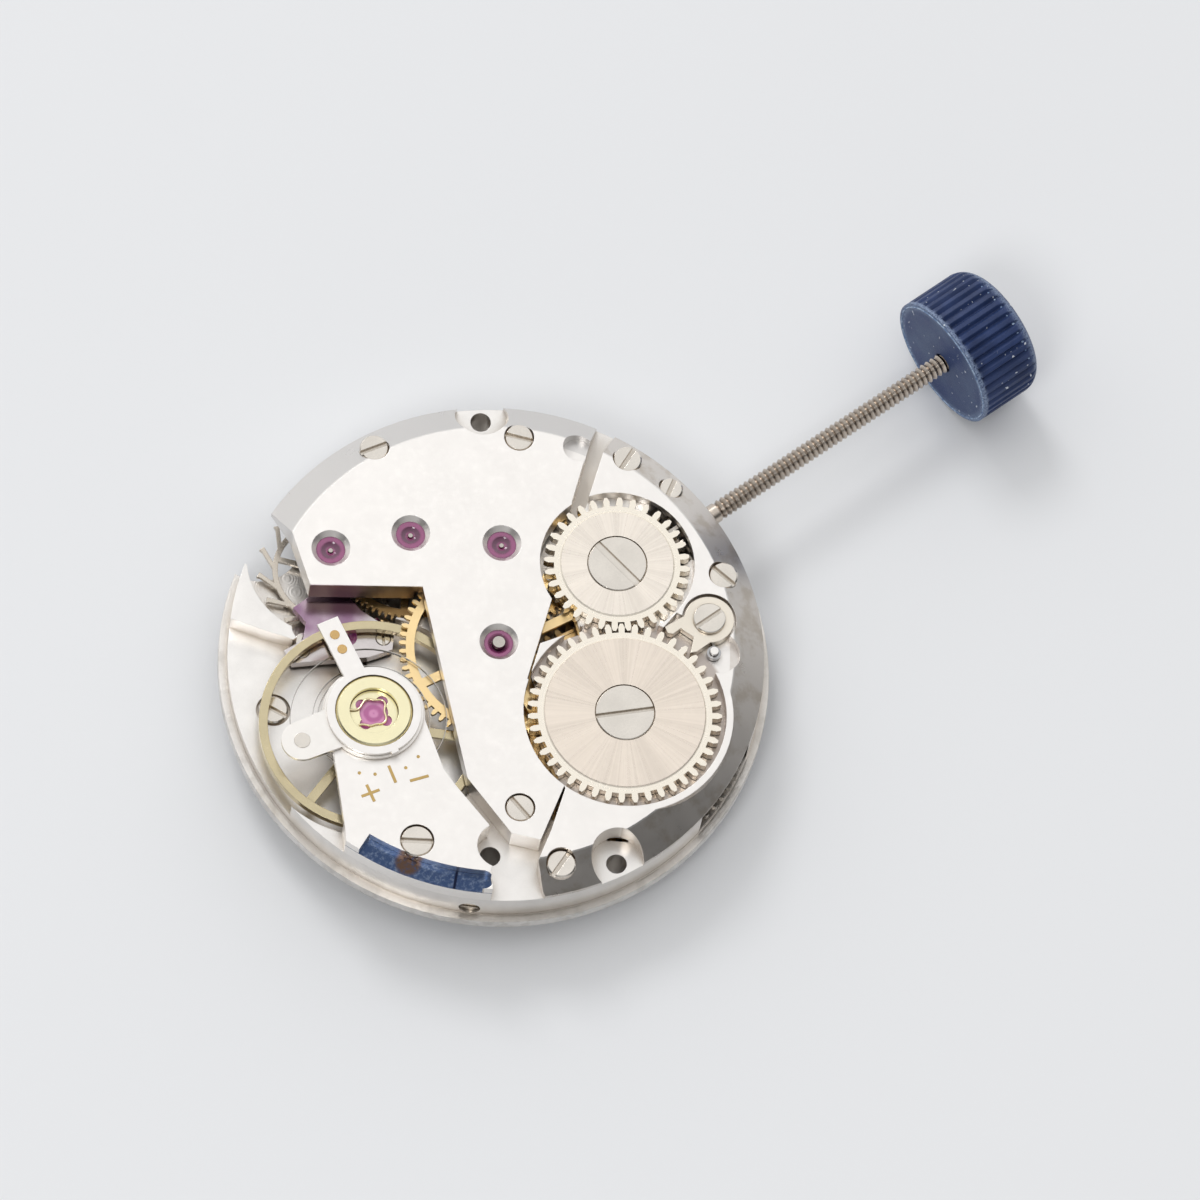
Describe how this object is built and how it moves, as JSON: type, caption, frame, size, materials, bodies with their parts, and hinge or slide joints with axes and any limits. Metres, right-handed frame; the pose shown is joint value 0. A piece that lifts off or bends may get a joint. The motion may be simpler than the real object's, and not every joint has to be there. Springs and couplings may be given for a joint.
{
  "type": "mechanical watch movement",
  "caption": "Round hand-wound watch movement with bridges, jewelled going train, lever escapement, balance with regulator, winding works and a stem with its crown.",
  "frame": {"origin": "centre of the movement on the dial seat, the flat lower face of the main plate", "axes": "+Z from the dial side up to the bridges, +X along the winding stem out to the crown"},
  "size_m": [0.0377, 0.0226, 0.0057],
  "materials": {
    "plate_nickel": "brass plate, fine matte nickel plating",
    "bridge_nickel": "brass bridge, matte nickel plating with polished bevels",
    "steel_polished": "polished steel",
    "steel_pinion": "hardened polished steel",
    "ruby": "polished synthetic ruby",
    "train_brass": "gilt brass wheel",
    "barrel_brass": "brass barrel",
    "winding_steel": "nickel-plated steel with a circular snailed face",
    "spring_steel": "spring steel",
    "hairspring_alloy": "pale spring alloy",
    "shock_gilt": "polished gilt brass",
    "stem_steel": "brownish bright-drawn steel",
    "crown_plastic": "navy-blue moulded plastic"
  },
  "bodies": {
    "plate": {"main_plate": "plate_nickel", "dial_foot_screws": "steel_polished", "lower_jewels": "ruby", "train_bridge": "bridge_nickel", "upper_jewels": "ruby", "barrel_bridge": "bridge_nickel", "balance_cock": "bridge_nickel", "pallet_bridge": "plate_nickel", "pallet_bridge_jewel": "ruby", "pallet_bridge_screws": "steel_polished", "bridge_screws": "steel_polished", "balance_cock_screw": "steel_polished", "shock_blocks": "shock_gilt", "shock_jewels": "ruby", "shock_springs": "shock_gilt", "crown_wheel_core": "steel_pinion", "crown_wheel_screw": "steel_polished", "click_screw": "steel_polished", "click_spring": "spring_steel", "setting_lever_screw": "steel_polished", "yoke_spring": "spring_steel"},
    "barrel": {"barrel_drum": "barrel_brass", "barrel_cover": "barrel_brass", "mainspring": "spring_steel"},
    "ratchet": {"barrel_arbor": "steel_pinion", "ratchet_wheel": "winding_steel", "ratchet_screw": "steel_polished"},
    "centre": {"centre_wheel": "train_brass", "centre_arbor": "steel_pinion"},
    "third": {"third_wheel": "train_brass", "third_pinion": "steel_pinion"},
    "fourth": {"fourth_wheel": "train_brass", "fourth_pinion": "steel_pinion"},
    "escape": {"escape_wheel": "steel_polished", "escape_pinion": "steel_pinion"},
    "pallet": {"pallet_fork": "steel_polished", "pallet_stones": "ruby", "pallet_arbor": "steel_pinion"},
    "balance": {"balance_wheel": "train_brass", "balance_staff": "steel_pinion", "roller": "steel_polished", "impulse_jewel": "ruby", "hairspring": "hairspring_alloy", "hairspring_collet": "train_brass"},
    "stud_carrier": {"stud_carrier": "steel_polished", "hairspring_stud": "steel_polished"},
    "regulator": {"regulator": "steel_polished", "curb_pins": "shock_gilt"},
    "crown_wheel": {"crown_wheel": "winding_steel"},
    "click": {"click": "steel_polished"},
    "winding_pinion": {"winding_pinion": "steel_pinion"},
    "stem": {"winding_stem": "stem_steel", "crown": "crown_plastic"},
    "sliding_pinion": {"sliding_pinion": "steel_pinion"},
    "setting_lever": {"setting_lever": "steel_polished"},
    "yoke": {"yoke": "steel_polished"},
    "cannon_pinion": {"cannon_pinion": "steel_pinion"},
    "minute_wheel": {"minute_wheel": "train_brass"},
    "hour_wheel": {"hour_wheel": "train_brass"},
    "setting_wheel": {"setting_wheel": "steel_polished"}
  },
  "joints": [
    {"name": "centre_wheel_turn", "type": "hinge", "parent": "plate", "child": "centre", "pos_m": [0, 0, 0.0022], "axis": [0, 0, 1], "continuous": true},
    {"name": "barrel_turn", "type": "hinge", "parent": "plate", "child": "barrel", "pos_m": [0.00232, -0.00546, 0.00103], "axis": [0, 0, 1], "continuous": true},
    {"name": "third_wheel_turn", "type": "hinge", "parent": "plate", "child": "third", "pos_m": [0.00275, 0.00344, 0.0016], "axis": [0, 0, 1], "continuous": true},
    {"name": "fourth_wheel_turn", "type": "hinge", "parent": "plate", "child": "fourth", "pos_m": [-0.00004, 0.00594, 0.00123], "axis": [0, 0, 1], "continuous": true},
    {"name": "escape_wheel_turn", "type": "hinge", "parent": "plate", "child": "escape", "pos_m": [-0.00312, 0.00728, 0.00064], "axis": [0, 0, 1], "continuous": true},
    {"name": "cannon_pinion_turn", "type": "hinge", "parent": "plate", "child": "cannon_pinion", "pos_m": [0, 0, 0], "axis": [0, 0, 1], "continuous": true},
    {"name": "minute_wheel_turn", "type": "hinge", "parent": "plate", "child": "minute_wheel", "pos_m": [0.00253, 0.00162, 0.0003], "axis": [0, 0, 1], "continuous": true},
    {"name": "hour_wheel_turn", "type": "hinge", "parent": "plate", "child": "hour_wheel", "pos_m": [0, 0, 0], "axis": [0, 0, 1], "continuous": true},
    {"name": "setting_wheel_turn", "type": "hinge", "parent": "plate", "child": "setting_wheel", "pos_m": [0.0052, 0, 0.0003], "axis": [0, 0, 1], "continuous": true},
    {"name": "stem_turn", "type": "hinge", "parent": "plate", "child": "winding_pinion", "pos_m": [0.0084, 0, 0.00142], "axis": [1, 0, 0], "continuous": true},
    {"name": "crown_wheel_turn", "type": "hinge", "parent": "plate", "child": "crown_wheel", "pos_m": [0.00608, 0, 0.00255], "axis": [0, 0, 1], "continuous": true},
    {"name": "ratchet_wheel_turn", "type": "hinge", "parent": "plate", "child": "ratchet", "pos_m": [0.00232, -0.00546, 0.00262], "axis": [0, 0, 1], "continuous": true},
    {"name": "stem_pull", "type": "slide", "parent": "winding_pinion", "child": "stem", "axis": [1, 0, 0], "range_m": [0, 0.0005]},
    {"name": "sliding_pinion_shift", "type": "slide", "parent": "winding_pinion", "child": "sliding_pinion", "axis": [1, 0, 0], "range_m": [-0.0005, 0]},
    {"name": "setting_lever_turn", "type": "hinge", "parent": "plate", "child": "setting_lever", "pos_m": [0.01008, 0.00155, 0.00008], "axis": [0, 0, 1], "range_deg": [0, 24.43]},
    {"name": "yoke_turn", "type": "hinge", "parent": "plate", "child": "yoke", "pos_m": [0.00738, 0.003, 0.00008], "axis": [0, 0, 1], "range_deg": [-12.52, 0]},
    {"name": "click_turn", "type": "hinge", "parent": "plate", "child": "click", "pos_m": [0.00766, -0.00414, 0.00262], "axis": [0, 0, 1], "range_deg": [-1.5, 3], "stiffness_Nm_per_rad": 0.000002},
    {"name": "balance_turn", "type": "hinge", "parent": "plate", "child": "balance", "pos_m": [-0.00613, 0.00036, 0.00174], "axis": [0, 0, 1], "range_deg": [-270, 270], "stiffness_Nm_per_rad": 0.00000017, "deforming": ["hairspring"]},
    {"name": "pallet_fork_turn", "type": "hinge", "parent": "plate", "child": "pallet", "pos_m": [-0.00446, 0.00419, 0.00064], "axis": [0, 0, 1], "range_deg": [-5, 5]},
    {"name": "regulator_turn", "type": "hinge", "parent": "plate", "child": "regulator", "pos_m": [-0.00613, 0.00036, 0.0031], "axis": [0, 0, 1], "range_deg": [-10, 10]},
    {"name": "stud_carrier_turn", "type": "hinge", "parent": "plate", "child": "stud_carrier", "pos_m": [-0.00613, 0.00036, 0.0031], "axis": [0, 0, 1], "range_deg": [-8, 8]}
  ],
  "couplings": [
    {"joint": "barrel_turn", "follows": "centre_wheel_turn", "ratio": -0.2},
    {"joint": "third_wheel_turn", "follows": "centre_wheel_turn", "ratio": -8},
    {"joint": "fourth_wheel_turn", "follows": "centre_wheel_turn", "ratio": 60},
    {"joint": "escape_wheel_turn", "follows": "centre_wheel_turn", "ratio": -600},
    {"joint": "cannon_pinion_turn", "follows": "centre_wheel_turn", "ratio": 1},
    {"joint": "minute_wheel_turn", "follows": "centre_wheel_turn", "ratio": -0.33333},
    {"joint": "hour_wheel_turn", "follows": "centre_wheel_turn", "ratio": 0.083333},
    {"joint": "setting_wheel_turn", "follows": "centre_wheel_turn", "ratio": 0.85714},
    {"joint": "crown_wheel_turn", "follows": "stem_turn", "ratio": -0.40625},
    {"joint": "ratchet_wheel_turn", "follows": "stem_turn", "ratio": 0.30233},
    {"joint": "sliding_pinion_shift", "follows": "stem_pull", "ratio": -1},
    {"joint": "setting_lever_turn", "follows": "stem_pull", "rad_per_m": 852.72},
    {"joint": "yoke_turn", "follows": "stem_pull", "rad_per_m": -436.85}
  ]
}
